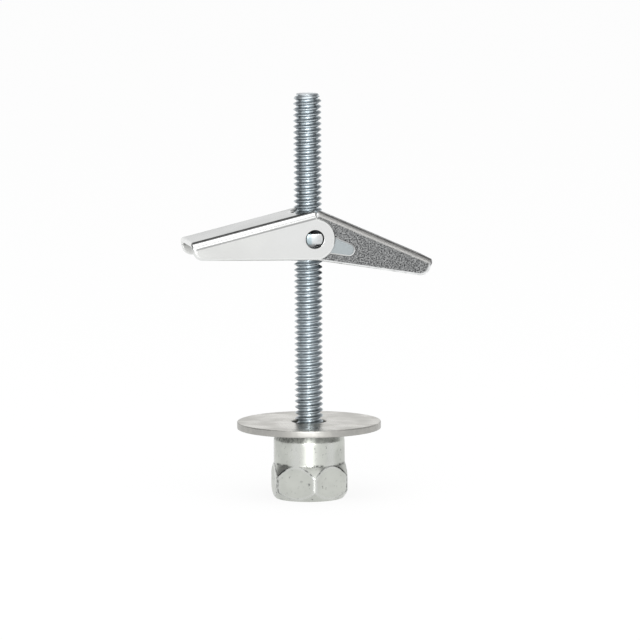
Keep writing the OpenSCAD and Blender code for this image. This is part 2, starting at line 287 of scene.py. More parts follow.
def turned_hexagon(profile, columns):
    """Turned profile cut by a hexagon: at angle a the radius is the smooth smaller of the profile's
    radius and half the width across flats / cos(angle to the nearest flat).
    Two marks go with it: the rim, where the two radii are alike, and the painted shade."""
    angle = full_turn(columns)
    to_flat = (angle - np.radians(HEX_TURN)) % (np.pi / 3) - np.pi / 6
    flat = HEX_HALF / np.cos(to_flat)
    turned, height = profile[:, :1], profile[:, 1:]
    gap, outside = flat - turned, turned > OUTER_R
    radius = np.where(outside, smooth_smaller(turned, flat, EDGE_ROUND), turned)
    # Painted shade along the ears' outlines and in the corner where the ears meet the collar.
    ear = np.maximum(bell(gap, *EAR_EDGE), bell(height, *EAR_TOP) * ramp(gap, *EAR_INSIDE))
    ear = ear * ramp(height, *EAR_LOW) * (1 - ramp(height, *EAR_HIGH)) * ramp(np.abs(to_flat), *EAR_SIDE)
    # Painted shade on the collar's upper bevel, where the washer shades it, strongest towards -X.
    bevel = ramp(height, *BEVEL_RISE) * (turned > BEVEL_INNER_R) * (BEVEL_SHARE - BEVEL_SWING * np.cos(angle))
    # Painted dark reflection along the flats' outlines, left out near the front edge.
    aside = ramp(1 - np.cos(angle - FRONT_EDGE), *FRONT_CLEAR) * (height < FLAT_TOP)
    outline = FLAT_SHARE * aside * outside * bell(gap, *FLAT_EDGE)
    marks = {"rim": outside * bell(gap, 0.0, EDGE_WIDTH), "painted_shade": ear + bevel + outline}
    return around(radius, angle, height), grid_faces(len(profile), columns, wrap_columns=True), marks

points, faces, marks = turned_hexagon(profile, COUPLER_SIDES)
coupler = make_piece("coupler_body", points, faces, "hanger", ["rod_coupler"],
                     marks, crease=50.0)

# %% [markdown]
# ## The rod's tapped hole
#
# From below, the coupler takes a 3/8 inch rod with sixteen threads to the inch. The tap leaves a
# ridge that winds up the bore, so the ridge is made as it is: a flat-topped profile carried along
# a helix, its foot sunk a hair into the bore's wall and its two ends run out to nothing.

# %% Tapped ridge
ROD_PITCH, RIDGE_H, RIDGE_LOW, RIDGE_TURNS, RIDGE_STEPS = 25.4 / 16, 0.78, 0.55, 5.2, 420
RIDGE_SUNK, RIDGE_FOOT, RIDGE_TOP = 0.03, 0.66, 0.14
RUN_OUT, LEAST_SHARE, FOOT_POWER, BORE_SHADE = 1.2, 0.02, 0.3, 0.5

def carry(path, side, up, profile):
    """Profile carried along a path: point = path + x * side + y * up for each (x, y) of the profile.
    At either end a ring of points that fall together in the profile's middle closes it."""
    rings = path[:, None] + profile[..., :1] * side[:, None] + profile[..., 1:] * up[:, None]
    middles = np.broadcast_to(rings.mean(axis=1, keepdims=True), rings.shape)
    rings = np.concatenate([middles[:1], rings, middles[-1:]])
    return rings, grid_faces(*rings.shape[:2], wrap_columns=True)

turn = np.linspace(0.0, 2 * np.pi * RIDGE_TURNS, RIDGE_STEPS)
out = around(1.0, turn, 0.0)
up = np.broadcast_to([0.0, 0.0, 1.0], out.shape)
path = BORE_R * out + up * (RIDGE_LOW + ROD_PITCH * turn / (2 * np.pi))[:, None]
fade = np.clip(np.minimum(turn, turn[-1] - turn) / RUN_OUT, LEAST_SHARE, 1.0)[:, None, None]
ridge = np.array([(RIDGE_SUNK, -RIDGE_FOOT), (RIDGE_SUNK, RIDGE_FOOT),
                  (-RIDGE_H, RIDGE_TOP), (-RIDGE_H, -RIDGE_TOP)])
points, faces = carry(path, out, up, ridge * np.concatenate([fade, fade ** FOOT_POWER], axis=-1))
# The ridge inside the bore carries painted shade at an even share.
socket = make_piece("coupler_thread", points, faces, "hanger", (),
                    {"rim": 0.0, "painted_shade": BORE_SHADE}, crease=40.0)

# %% [markdown]
# ## The fender washer
#
# The washer is stamped from strip: the punch draws the upper edges over a little and leaves the
# lower ones nearly square. Spinning the softened section round the axis gives just that.
# The section starts and ends underneath, where it is flat.

# %% Washer
WASHER_R, WASHER_HOLE, WASHER_LOW, WASHER_TOP = 15.875, 3.775, 15.5, 17.0
SEAM_FROM, SEAM_TO, WASHER_GAP, WASHER_SIDES = 9.0, 8.8, 0.5, 256
WASHER_EDGE, HOLE_EDGE, UNDER_RISE = (WASHER_R, 0.13), (WASHER_HOLE, 0.2), (WASHER_LOW, 15.6)

def spin(profile, columns):
    """Closed section spun round Z: (r cos a, r sin a, z) for every (r, z) of it and every angle a."""
    points = around(profile[:, :1], full_turn(columns), profile[:, 1:])
    return points, grid_faces(len(profile), columns, wrap_rows=True, wrap_columns=True)

section = soften([
    (SEAM_FROM, WASHER_LOW, 0.0), (WASHER_R, WASHER_LOW, 0.12), (WASHER_R, WASHER_TOP, 0.16),
    (WASHER_HOLE, WASHER_TOP, 0.24), (WASHER_HOLE, WASHER_LOW, 0.12), (SEAM_TO, WASHER_LOW, 0.0)], WASHER_GAP)
points, faces = spin(section, WASHER_SIDES)
rim = bell(section[:, :1], *WASHER_EDGE) + bell(section[:, :1], *HOLE_EDGE)
# The underside carries painted shade.
under = 1 - ramp(section[:, 1:], *UNDER_RISE)
washer = make_piece("washer_disc", points, faces, "washer", ["fender_washer"],
                    {"rim": rim, "painted_shade": under}, crease=50.0)

# %% [markdown]
# ## A wing, before it is folded
#
# Both wings are one stamping, drawn here once, in a frame of its own: u runs from the pivot to the
# tip, v up to the back, y across. A cheek is an outline round the pivot hole: straight under the
# back, cut off at the tip, rounded at the corner, tapering back to a round eye. Each point of the
# outline also has a direction that points out of the sheet, for the rounded lip of the cut edge.
# Along the top there is no cut edge, because the sheet goes on there into the fold.

# %% Cheek outline
SHEET, REACH, BACK, FOLD_R, EYE_R = 0.9, 27.1, 6.1, 1.4, 4.7
TAPER, TIP_R, HOLE_R = math.radians(14.5), 2.2, 2.02
LIP_OUT, LIP_IN, LIP_HOLE = 0.46, 0.16, 0.12
LEFT_DROOP, RIGHT_DROOP, STOP_GAP = 12.8, 24.4, 0.15
BACK_ROWS, TIP_ROWS, CORNER_ROWS, LOW_ROWS, EYE_ROWS = 66, 7, 12, 72, 80
half_spread = math.radians((LEFT_DROOP + RIGHT_DROOP) / 2)
TAIL = (BACK - SHEET) * math.tan(half_spread) - STOP_GAP / (2 * math.cos(half_spread))
V_TOP = BACK - FOLD_R

def straight(a, b, count=12):
    """Evenly spaced points from a to b."""
    a, b = np.asarray(a, float), np.asarray(b, float)
    return a + np.linspace(0.0, 1.0, count)[:, None] * (b - a)

def compass(angle):
    """Directions (cos a, sin a)."""
    return np.stack([np.cos(angle), np.sin(angle)], axis=-1)

def cheek_outline():
    """Outline points (u, v), their outward directions, and whether each has a cut edge,
    all the way round from the back's rear end."""
    down = np.array([math.sin(TAPER), -math.cos(TAPER)])
    tip_u = REACH - TIP_R
    tip = np.array([tip_u, tip_u * math.tan(TAPER) - (EYE_R - TIP_R) / math.cos(TAPER)])
    corner = compass(np.linspace(0.0, TAPER - np.pi / 2, CORNER_ROWS))
    eye = compass(np.linspace(TAPER - np.pi / 2, np.arccos(-TAIL / EYE_R) - 2 * np.pi, EYE_ROWS))
    runs = [
        ([(-TAIL, V_TOP)], (-1.0, 0.0), True),
        (straight((LIP_OUT - TAIL, V_TOP), (REACH - LIP_OUT, V_TOP), BACK_ROWS)[1:-1], (0.0, 1.0), False),
        (straight((REACH, V_TOP), (REACH, tip[1]), TIP_ROWS)[:-1], (1.0, 0.0), True),
        (tip + TIP_R * corner, corner, True),
        (straight(tip + TIP_R * down, EYE_R * down, LOW_ROWS)[1:-1], down, True),
        (EYE_R * eye, eye, True)]
    runs = [(at, np.broadcast_to(out, np.shape(at)), np.full(len(at), cut)) for at, out, cut in runs]
    return [np.concatenate(column) for column in zip(*runs)]

edge_at, edge_out, edge_cut = cheek_outline()
print("outline points", len(edge_at), "of them cut edge", int(edge_cut.sum()))

# %% [markdown]
# ## The pressed tongue
#
# The press also raises a blunt tongue on one cheek of each wing, which stiffens the sheet by the
# eye. Its height follows from the distance to its outline: nought outside, full a little inside,
# and a smooth slope between.

# %% Tongue height
TONGUE_H, TONGUE_TOP, TONGUE_LOW, TONGUE_R = 0.25, 2.3, 2.8, 1.5
TONGUE_SLOPE, TONGUE_START = (-0.04, 0.4), (2.6, 3.4)
tongue_v = TONGUE_TOP - TONGUE_R
tongue_edge = TONGUE_LOW / math.cos(TAPER)
tongue_u = (tongue_v + tongue_edge - TONGUE_R / math.cos(TAPER)) / math.tan(TAPER)

def tongue_share(u, v):
    """Share of the tongue's height at (u, v). The distance is to the upper edge, the lower edge, or,
    past the end's centre, to the end's circle."""
    above = v - TONGUE_TOP
    below = -(v + tongue_edge - u * math.tan(TAPER)) * math.cos(TAPER)
    du, dv = u - tongue_u, v - tongue_v
    past = du * math.cos(TAPER / 2) + dv * math.sin(TAPER / 2) > TONGUE_R * math.sin(TAPER / 2)
    outside = np.where(past, np.hypot(du, dv) - TONGUE_R, np.maximum(above, below))
    return ramp(-outside, *TONGUE_SLOPE) * ramp(u, *TONGUE_START)

print("the tongue ends round", [round(x, 2) for x in (tongue_u, tongue_v)])

# %% [markdown]
# ## Cheeks
#
# A cheek's grid runs out from the pivot hole along rays, turns over the lip, comes back on the inside and
# closes through the hole. The cheek with the tongue needs many rows. The plain one needs few, and its last
# row is narrow, because the rim's painted highlight fades over it.

# %% Cheek surface
PLAIN_Y, TONGUE_Y, PLAIN_RAYS, TONGUE_RAYS = 7.0, 5.75, 10, 92
RAY_POWER, RIM_BAND, RIM_BAND_SHARE = 1.4, 0.6, 0.15
RIM_FACE, RIM_ROOT, HOLE_DARK = 0.9, 0.6, 0.9

def lip(reach_out, reach_in, steps=5):
    """How a cut edge goes round: (distance back from the edge, depth under the outer face),
    a quarter circle at the outer face and a smaller one at the inner."""
    a = np.linspace(0.0, np.pi / 2, steps)[1:]
    b = np.linspace(0.0, np.pi / 2, steps)[:-1]
    back = np.concatenate([reach_out * (1 - np.sin(a)), reach_in * (1 - np.cos(b))])
    depth = np.concatenate([reach_out * (1 - np.cos(a)), SHEET - reach_in * (1 - np.sin(b))])
    return back, depth

def cheek(outer_y, side, rays, pressed):
    """One cheek: for each outline point a closed loop of (u, v, depth), out along the outer face,
    round the lip, back along the inner face and through the hole. It is placed at
    y = outer_y - side * depth, and pressed outward by the tongue's height."""
    length, cut = np.linalg.norm(edge_at, axis=1, keepdims=True), edge_cut[:, None]
    ray = edge_at / length
    start = (HOLE_R + LIP_HOLE) * ray
    t = np.linspace(0.0, 1.0, rays)[:, None, None] ** RAY_POWER * np.ones_like(length)
    if not pressed:
        t[-2] = 1 - np.minimum(RIM_BAND / length, RIM_BAND_SHARE)
    outer, inner = [start + t * (edge_at - reach * cut * edge_out - start) for reach in (LIP_OUT, LIP_IN)]
    back, depth = lip(LIP_OUT, LIP_IN)
    turned = edge_at - back[:, None, None] * cut * edge_out
    hole_back, hole_depth = lip(LIP_HOLE, LIP_HOLE)
    bore = (HOLE_R + hole_back[::-1, None, None]) * ray
    u, v = np.moveaxis(np.concatenate([outer, turned, inner[::-1], bore]), -1, 0)
    depths = np.concatenate([np.zeros(rays), depth, np.full(rays, SHEET), hole_depth[::-1]])[:, None]
    share = tongue_share(u, v) if pressed else np.zeros_like(u)
    points = xyz(u, outer_y - side * (depths - TONGUE_H * share), v)
    row, lip_end = np.arange(len(points)), rays + len(back)
    on_lip = ((row >= rays - 1) & (row < lip_end))[:, None]
    cut_quad = edge_cut & np.roll(edge_cut, -1)
    faces = grid_faces(*u.shape, wrap_rows=True, wrap_columns=True)[~on_lip | cut_quad]
    # The rim mark carries a painted highlight along the cut edges; the line mark carries painted shade in the
    # pivot hole's bore.
    rim = np.zeros(len(row))
    rim[rays - 1], rim[rays:lip_end], rim[lip_end] = RIM_FACE, 1.0, RIM_ROOT
    dark = HOLE_DARK * (row >= len(row) - len(hole_back))
    return points, faces, {"tongue": share, "rim": rim[:, None] * edge_cut, "line": dark[:, None]}

cheeks = [cheek(-TONGUE_Y, -1.0, TONGUE_RAYS, True), cheek(PLAIN_Y, 1.0, PLAIN_RAYS, False)]
print("cheek grids", [made[0].shape[:2] for made in cheeks])

# %% [markdown]
# ## Back and folds
#
# The back's grid runs from the slotted rear end to the tip, turns over its lip and comes back
# underneath; across, it starts at the top of one cheek, goes round the fold, over the flat with the
# slot for the stud, and round the other fold. It has the same points along the folds as the cheeks,
# so that they merge into one closed sheet.

# %% Back surface
SLOT_R, SLOT_CLEAR, SLOT_STEPS, FOLD_STEPS = 3.625, 0.5, 25, 9
SLOT_NEAR, SLOT_FAR, SLOT_END, SLANT = 0.36, 0.6, 1.3, 0.7
FOLD_SHADE_LINE = (67.0, 17.0)
least = math.radians(LEFT_DROOP)
SLOT_U = (STUD_R - (BACK - SHEET) * math.sin(least)) / math.cos(least) + SLOT_CLEAR - SLOT_R

def channel_back():
    """Back and folds: between each rear point T and tip point Q the loop T to Q on the outer face, round the
    tip's lip, Q to T on the inner face, round the rear lip. The inner face lies one sheet thickness along the
    normal; a fold is a quarter circle; the slot is a half circle with short straight sides. Three marks go
    with it: the rim on the lips, which carries a painted highlight, the fold, sin(2 g) at angle g round the
    bend, which carries a painted highlight on the right wing, and a line of painted shade, a bell curve on
    its upper half."""
    g = np.linspace(0.0, np.pi / 2, FOLD_STEPS)
    arc = compass(np.linspace(-np.pi / 2, np.pi / 2, SLOT_STEPS))
    flat = np.concatenate([
        [(-TAIL, -SLOT_R - SLOT_NEAR), (-TAIL, -SLOT_R)], np.array([SLOT_U, 0.0]) + SLOT_R * arc,
        [(-TAIL, SLOT_R), (-TAIL, SLOT_R + SLOT_FAR), (-TAIL, SLOT_R + SLOT_END)]])
    flat_out = np.concatenate([[(-1, 0), (-SLANT, SLANT)], -arc, [(-SLANT, -SLANT), (-1, 0), (-1, 0)]])
    tip_y = np.linspace(FOLD_R - TONGUE_Y, PLAIN_Y - FOLD_R, len(flat) + 2)[1:-1]

    def across(near, middle, far):
        """Values up the near fold, over the flat and down the far fold."""
        near, far = np.broadcast_to(near, len(g)), np.broadcast_to(far, len(g))
        return np.concatenate([near, np.broadcast_to(middle, len(flat)), far[::-1]])

    bend, rise = FOLD_R * (1 - np.cos(g)), V_TOP + FOLD_R * np.sin(g)
    v = across(rise, BACK, rise)
    rear_y, tip_y = [across(bend - TONGUE_Y, y, PLAIN_Y - bend) for y in (flat[:, 1], tip_y)]
    rear, tip = xyz(across(-TAIL, flat[:, 0], -TAIL), rear_y, v), xyz(REACH, tip_y, v)
    normal = xyz(0.0, across(-np.cos(g), 0.0, np.cos(g)), across(np.sin(g), 1.0, np.sin(g)))
    rear_out = xyz(across(-1.0, flat_out[:, 0], -1.0), across(0.0, flat_out[:, 1], 0.0), 0.0)
    tip_out = np.array([1.0, 0.0, 0.0])
    back, depth = [values[:, None, None] for values in lip(LIP_OUT, LIP_IN)]
    first, last = rear - LIP_OUT * rear_out, tip - LIP_OUT * tip_out
    outer = first + np.linspace(0.0, 1.0, BACK_ROWS)[:, None, None] * (last - first)
    inner = outer.copy()
    inner[0], inner[-1] = rear - LIP_IN * rear_out, tip - LIP_IN * tip_out
    ends = ((tip, tip_out), (rear, rear_out))
    tip_lip, rear_lip = [end - back * end_out - depth * normal for end, end_out in ends]
    points = np.concatenate([outer, tip_lip, (inner - SHEET * normal)[::-1], rear_lip[::-1]])
    rim = np.concatenate([[RIM_ROOT], np.zeros(BACK_ROWS - 2), [RIM_ROOT], np.ones(len(back))])
    outside = (np.arange(len(points)) < BACK_ROWS)[:, None]
    shares = np.sin(2 * g), bell(np.degrees(g), *FOLD_SHADE_LINE)
    fold, line = [outside * across(share, 0.0, share) for share in shares]
    marks = {"rim": np.tile(rim, 2)[:, None], "fold": fold, "line": line}
    return points, grid_faces(*points.shape[:2], wrap_rows=True), marks

back_part = channel_back()
print("back grid", back_part[0].shape[:2])

# %% [markdown]
# ## The whole stamping
#
# Two cheeks and the back make the sheet. Besides the marks of its parts, it gets two that hold for
# the whole of it: the share of the reach, and the height above the pivot in millimetres.

# %% Wing sheet
def join(grids):
    """Several grids as one list of points and one of quads, whose numbers go up by the points before them."""
    before = np.cumsum([0] + [points[..., 0].size for points, _ in grids])
    points = np.concatenate([points.reshape(-1, 3) for points, _ in grids])
    return points, np.concatenate([faces.reshape(-1, 4) + n for (_, faces), n in zip(grids, before)])

parts = [*cheeks, back_part]
sheet, sheet_faces = join([part[:2] for part in parts])
marks = {"reach": np.clip(sheet[:, 0] / REACH, 0.0, 1.0), "rise": sheet[:, 2]}
for name in ("tongue", "rim", "fold", "line"):
    values = [np.broadcast_to(made.get(name, 0.0), at.shape[:2]).ravel() for at, _, made in parts]
    marks[name] = np.concatenate(values)
print("sheet points", len(sheet), "quads", len(sheet_faces))

# %% [markdown]
# ## Two wings on one pivot
#
# The right wing droops by 24.4 degrees and the left one by 12.8. The left wing is the same
# stamping turned half round, so the two nest: each has one cheek outside and one inside.

# %% Place the wings
PIVOT = np.array([0.0, 0.0, 58.25])

def wing_turn(droop, half_round):
    """Matrix that tilts (u, y, v) down by the droop about Y and, for the left wing, turns it half round Z."""
    c, s = math.cos(math.radians(droop)), math.sin(math.radians(droop))
    tilt = np.array([(c, 0.0, s), (0.0, 1.0, 0.0), (-s, 0.0, c)])
    return (np.diag([-1.0, -1.0, 1.0]) if half_round else np.eye(3)) @ tilt

right_turn, left_turn = wing_turn(RIGHT_DROOP, False), wing_turn(LEFT_DROOP, True)
right_wing = make_piece("right_wing_sheet", sheet @ right_turn.T + PIVOT, sheet_faces,
                        "right_wing", ["right_wing"], marks)
left_wing = make_piece("left_wing_sheet", sheet @ left_turn.T + PIVOT, sheet_faces,
                       "left_wing", ["left_wing"], marks)

# %% [markdown]
# ## The nut
#
# The nut is a stamped plate with a lug at each end; only a lug's end shows, in the pivot hole. The
# CAD form is right, and only its edges are too sharp for a stamping, so a merged copy of it takes
# a small bevel.

# %% Nut
NUT_BEVEL, BEVEL_OVER, FLAT_UNDER, NUT_MERGE = 0.16, 35.0, 1.0, 1e-6

def bevelled_copy(name, node, body):
    """Merged copy of a CAD node, its flat faces joined, with a Bevel modifier on edges over BEVEL_OVER."""
    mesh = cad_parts[node].data.copy()
    mesh.name = name
    mesh.materials.clear()
    work = bmesh.new()
    work.from_mesh(mesh)
    bmesh.ops.remove_doubles(work, verts=work.verts, dist=NUT_MERGE)
    bmesh.ops.dissolve_limit(work, angle_limit=math.radians(FLAT_UNDER), verts=work.verts, edges=work.edges)
    work.to_mesh(mesh)
    work.free()
    mesh.shade_smooth()
    piece = bpy.data.objects.new(name, mesh)
    scene.collection.objects.link(piece)
    bevel = piece.modifiers.new("stamped_edge", "BEVEL")
    bevel.limit_method, bevel.angle_limit = "ANGLE", math.radians(BEVEL_OVER)
    bevel.width, bevel.segments, bevel.harden_normals = NUT_BEVEL * MM, 3, True
    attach(piece, body)
    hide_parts(node)
    print(name, "faces", len(mesh.polygons))
    return piece

nut = bevelled_copy("nut_plate", "trunnion_nut", "nut")

# %% [markdown]
# ## The spring
#
# One bent wire holds the wings open: a turn round each lug, two free legs under the left back, and
# two legs joined by a cross wire under the right back. Each leg leaves its coil along a tangent,
# so when a wing folds, its legs turn with it about the pivot and still meet the coil. That is why
# the coils ride on the nut and the legs on the wings.

# %% Spring wire
WIRE_R, COIL_R, COIL_IN, COIL_OUT = 0.225, 2.425, 4.075, 4.575
LEG_U, LEG_V = 9.0, 4.925
WIRE_ASIDE = np.array([0.3, 0.0, 0.95])

def wire(path, sides=12):
    """Round wire along a path: the circle's axes are the path's direction x WIRE_ASIDE, scaled to length 1,
    and that axis x the path's direction."""
    run = unit(np.gradient(path, axis=0))
    side = unit(np.cross(run, WIRE_ASIDE))
    return carry(path, side, np.cross(side, run), WIRE_R * compass(full_turn(sides)))

def leg_end(turn):
    """Where a leg presses on a wing's back, in X and Z from the pivot."""
    return (turn @ np.array([LEG_U, 0.0, LEG_V]))[[0, 2]]

def tangent_angle(end, sense):
    """Angle round the pivot where a straight leg to the end leaves the coil: the end's own angle,
    turned by acos(COIL_R / distance) in the given sense."""
    return math.atan2(end[1], end[0]) + sense * math.acos(COIL_R / np.linalg.norm(end))

left_end, right_end = leg_end(left_turn), leg_end(right_turn)
coil_from, coil_to = tangent_angle(left_end, -1), tangent_angle(right_end, 1) - 2 * math.pi
print("coil turns by", round(math.degrees(coil_from - coil_to), 1), "degrees")

# %% [markdown]
# A coil is part of a helix round the pivot, and a leg a straight run from the coil to the back. At
# the cross wire the legs bend inward in a quarter circle.

# %% Spring pieces
COIL_STEPS, BEND_R, BEND_STEPS = 64, 0.9, 9
ACROSS = np.array([0.0, 1.0, 0.0])

def on_coil(angle, y):
    """Points (COIL_R cos a, y, COIL_R sin a) from the pivot."""
    return xyz(COIL_R * np.cos(angle), y, COIL_R * np.sin(angle))

def coil_path(side):
    """Helix round the pivot from the inner leg's tangent point to the outer leg's:
    angle and y both go evenly."""
    k = np.linspace(0.0, 1.0, COIL_STEPS)
    return on_coil(coil_from + k * (coil_to - coil_from), side * (COIL_IN + k * (COIL_OUT - COIL_IN)))

def wires(name, paths, body, replaced=()):
    """Several wires, along paths from the pivot, as one piece."""
    points, faces = join([wire(path + PIVOT) for path in paths])
    return make_piece(name, points, faces, body, replaced, crease=60.0)

free_legs = [straight(on_coil(coil_from, y), (left_end[0], y, left_end[1])) for y in (COIL_IN, -COIL_IN)]
leg_dir = np.array([math.cos(coil_to - math.pi / 2), 0.0, math.sin(coil_to - math.pi / 2)])
bend = np.linspace(0.0, np.pi / 2, BEND_STEPS)[:, None]
foot = np.array([right_end[0], COIL_OUT, right_end[1]]) - BEND_R * leg_dir
half_bend = foot + BEND_R * np.sin(bend) * leg_dir - BEND_R * (1 - np.cos(bend)) * ACROSS
half_leg = np.concatenate([straight(on_coil(coil_to, COIL_OUT), foot)[:-1], half_bend])
joined_legs = np.concatenate([half_leg, (half_leg * (1 - 2 * ACROSS))[::-1]])
coils = wires("spring_coils", [coil_path(1.0), coil_path(-1.0)], "nut", ["wing_spring"])
left_legs = wires("spring_legs_left", free_legs, "left_wing")
right_legs = wires("spring_legs_right", [joined_legs], "right_wing")

# %% [markdown]
# ## Tools for materials
#
# A node tree is built from short calls: each names a node, its settings and what goes into its
# sockets, either a number or another node's output. An effect that several finishes share becomes
# a node group with named inputs, so that each finish only sets its own values.

# %% Node helpers
VECTOR, COLOUR, NUMBER = "NodeSocketVector", "NodeSocketColor", "NodeSocketFloat"

def grey(level):
    """Neutral colour of one level."""
    return (level, level, level, 1)

def node(tree, kind, settings=None, sockets=None):
    """Adds a node; a socket given another node's output is linked, any other value is set."""
    made = tree.nodes.new(kind)
    for key, value in (settings or {}).items():
        setattr(made, key, value)
    for key, value in (sockets or {}).items():
        if isinstance(value, bpy.types.NodeSocket):
            tree.links.new(value, made.inputs[key])
        else:
            made.inputs[key].default_value = value
    return made

def mix(tree, factor, a, b):
    """Colour mix of a and b, as an output socket."""
    return node(tree, "ShaderNodeMix", {"data_type": "RGBA"}, {0: factor, 6: a, 7: b}).outputs[2]

def maths(tree, operation, *values, clamp=False):
    """One step of arithmetic on two or three values, as an output socket."""
    settings = {"operation": operation, "use_clamp": clamp}
    return node(tree, "ShaderNodeMath", settings, dict(enumerate(values))).outputs[0]

def span(tree, value, low, high, to_low, to_high):
    """Value between low and high, carried over to the range from to_low to to_high, as an output socket."""
    sockets = {0: value, 1: low, 2: high, 3: to_low, 4: to_high}
    return node(tree, "ShaderNodeMapRange", {"interpolation_type": "SMOOTHSTEP"}, sockets).outputs[0]

def noise(tree, place, scale, detail=3.0, rough=0.55):
    """Noise at a place, as an output socket."""
    sockets = {"Vector": place, "Scale": scale, "Detail": detail, "Roughness": rough}
    return node(tree, "ShaderNodeTexNoise", None, sockets).outputs[0]

def new_group(name, inputs, outputs):
    """Empty shader node group with named sockets, its input node's outputs and its output node."""
    group = bpy.data.node_groups.new(name, "ShaderNodeTree")
    for label, kind, value in inputs:
        made = group.interface.new_socket(name=label, in_out="INPUT", socket_type=kind)
        if value is not None:
            made.default_value = value
    for label, kind in outputs:
        group.interface.new_socket(name=label, in_out="OUTPUT", socket_type=kind)
    return group, group.nodes.new("NodeGroupInput").outputs, group.nodes.new("NodeGroupOutput")

def put_out(group, give, **sockets):
    """Links sockets to the group's outputs of the same names."""
    for label, socket_out in sockets.items():
        group.links.new(socket_out, give.inputs[label])
    print("group", group.name, "nodes", len(group.nodes))

print("a mid grey is written", grey(0.5))

# %% [markdown]
# ## Zinc plate
#
# Electroplated zinc is never one grey. It clouds into soft patches a few millimetres wide, carries
# dark specks where the bath left pits, and its shine changes with the clouds. One group makes all
# three from noise at different sizes.

# %% Group: clouded zinc
CLOUD_FROM, CLOUD_TO = 0.3, 0.7
PIT_FROM, PIT_LEAST, PIT_GAIN, PIT_COLOUR = 0.2, 0.28, 0.35, (0.03, 0.032, 0.035, 1)
clouded, take, give = new_group("clouded_zinc", [
    ("Place", VECTOR, None), ("Bright", COLOUR, grey(0.6)), ("Dull", COLOUR, grey(0.4)),
    ("Cloud Scale", NUMBER, 250.0), ("Speck Scale", NUMBER, 2200.0), ("Speck Share", NUMBER, 0.3),
    ("Speck Depth", NUMBER, 0.5), ("Shine", NUMBER, 0.25), ("Haze", NUMBER, 0.4)],
    [("Color", COLOUR), ("Roughness", NUMBER), ("Height", NUMBER)])
cloud = span(clouded, noise(clouded, take["Place"], take["Cloud Scale"]), CLOUD_FROM, CLOUD_TO, 0.0, 1.0)
grain = noise(clouded, take["Place"], take["Speck Scale"], detail=2.0, rough=0.6)
pit_to = maths(clouded, "MULTIPLY_ADD", take["Speck Share"], PIT_GAIN, PIT_LEAST)
pit = span(clouded, grain, PIT_FROM, pit_to, take["Speck Depth"], 0.0)
plain = mix(clouded, cloud, take["Dull"], take["Bright"])
put_out(clouded, give, Color=mix(clouded, pit, plain, PIT_COLOUR), Height=grain,
        Roughness=span(clouded, cloud, 0.0, 1.0, take["Haze"], take["Shine"]))

# %% [markdown]
# ## Rims: wear and painted highlight
#
# The pieces carry a mark called rim which is 1 on rounded edges; this group mixes the rim's colour and
# roughness in there, broken up a little by noise. On the coupler the rim colour is plate rubbed bright where
# hands touch the edges, on the washer its grey sheared edge, and on the wings a painted highlight along the
# rounded edges.

# %% Group: rim wear and painted highlight
PATCH_SCALE, PATCH_FROM, PATCH_TO, PATCH_LEAST = 900.0, 0.25, 0.6, 0.7
rim_group, take, give = new_group("rim_wear_and_highlight", [
    ("Place", VECTOR, None), ("Color", COLOUR, grey(0.5)), ("Roughness", NUMBER, 0.4), ("Rim", NUMBER, 0.0),
    ("Rim Color", COLOUR, grey(0.8)), ("Rim Roughness", NUMBER, 0.2)],
    [("Color", COLOUR), ("Roughness", NUMBER)])
patchy = span(rim_group, noise(rim_group, take["Place"], PATCH_SCALE), PATCH_FROM, PATCH_TO, PATCH_LEAST, 1.0)
amount = maths(rim_group, "MULTIPLY", take["Rim"], patchy, clamp=True)
put_out(rim_group, give, Color=mix(rim_group, amount, take["Color"], take["Rim Color"]),
        Roughness=span(rim_group, amount, 0.0, 1.0, take["Roughness"], take["Rim Roughness"]))

# %% [markdown]
# ## Drawn lines
#
# Strip and wire come through rolls and dies, which leave fine lines along the metal. Noise that is
# stretched along one direction gives them; the stretching is done by the Mapping node in front.

# %% Group: drawn lines
LINE_FROM, LINE_TO = 0.62, 0.4
drawn, take, give = new_group("drawn_lines", [
    ("Place", VECTOR, None), ("Color", COLOUR, grey(0.5)), ("Line Color", COLOUR, grey(0.3)),
    ("Scale", NUMBER, 900.0), ("Amount", NUMBER, 0.5)], [("Color", COLOUR), ("Height", NUMBER)])
lines = noise(drawn, take["Place"], take["Scale"], detail=4.0, rough=0.65)
strength = maths(drawn, "MULTIPLY", span(drawn, lines, LINE_FROM, LINE_TO, 0.0, 1.0), take["Amount"])
put_out(drawn, give, Color=mix(drawn, strength, take["Color"], take["Line Color"]), Height=lines)

# %% [markdown]
# ## Painted shade
#
# Pieces carry marks for the places where shade falls: corners, hollows, undersides, grooves and edges that
# mirror dark surroundings. This group paints shade there in specks, with a lighter even share of it between
# them.

# %% Group: painted shade
SPECK_FROM, SPECK_TO = 0.56, 0.44
shade_group, take, give = new_group("painted_shade_specks", [
    ("Place", VECTOR, None), ("Color", COLOUR, grey(0.5)), ("Shade", NUMBER, 0.0),
    ("Shade Color", COLOUR, grey(0.05)), ("Speck Scale", NUMBER, 1800.0), ("Between Specks", NUMBER, 0.3)],
    [("Color", COLOUR)])
grain = noise(shade_group, take["Place"], take["Speck Scale"], detail=2.0, rough=0.6)
specks = span(shade_group, grain, SPECK_FROM, SPECK_TO, take["Between Specks"], 1.0)
amount = maths(shade_group, "MULTIPLY", take["Shade"], specks, clamp=True)
put_out(shade_group, give, Color=mix(shade_group, amount, take["Color"], take["Shade Color"]))

# %% [markdown]
# ## The finishes
#
# Every finish is one metal shader, fed in this order: plate, drawn lines, tones and painted light along
# marks, rims (wear on the coupler and washer, painted highlight on the wings), and painted shade last.

# %% Finish helper
BUMP_STRENGTH = 10.0

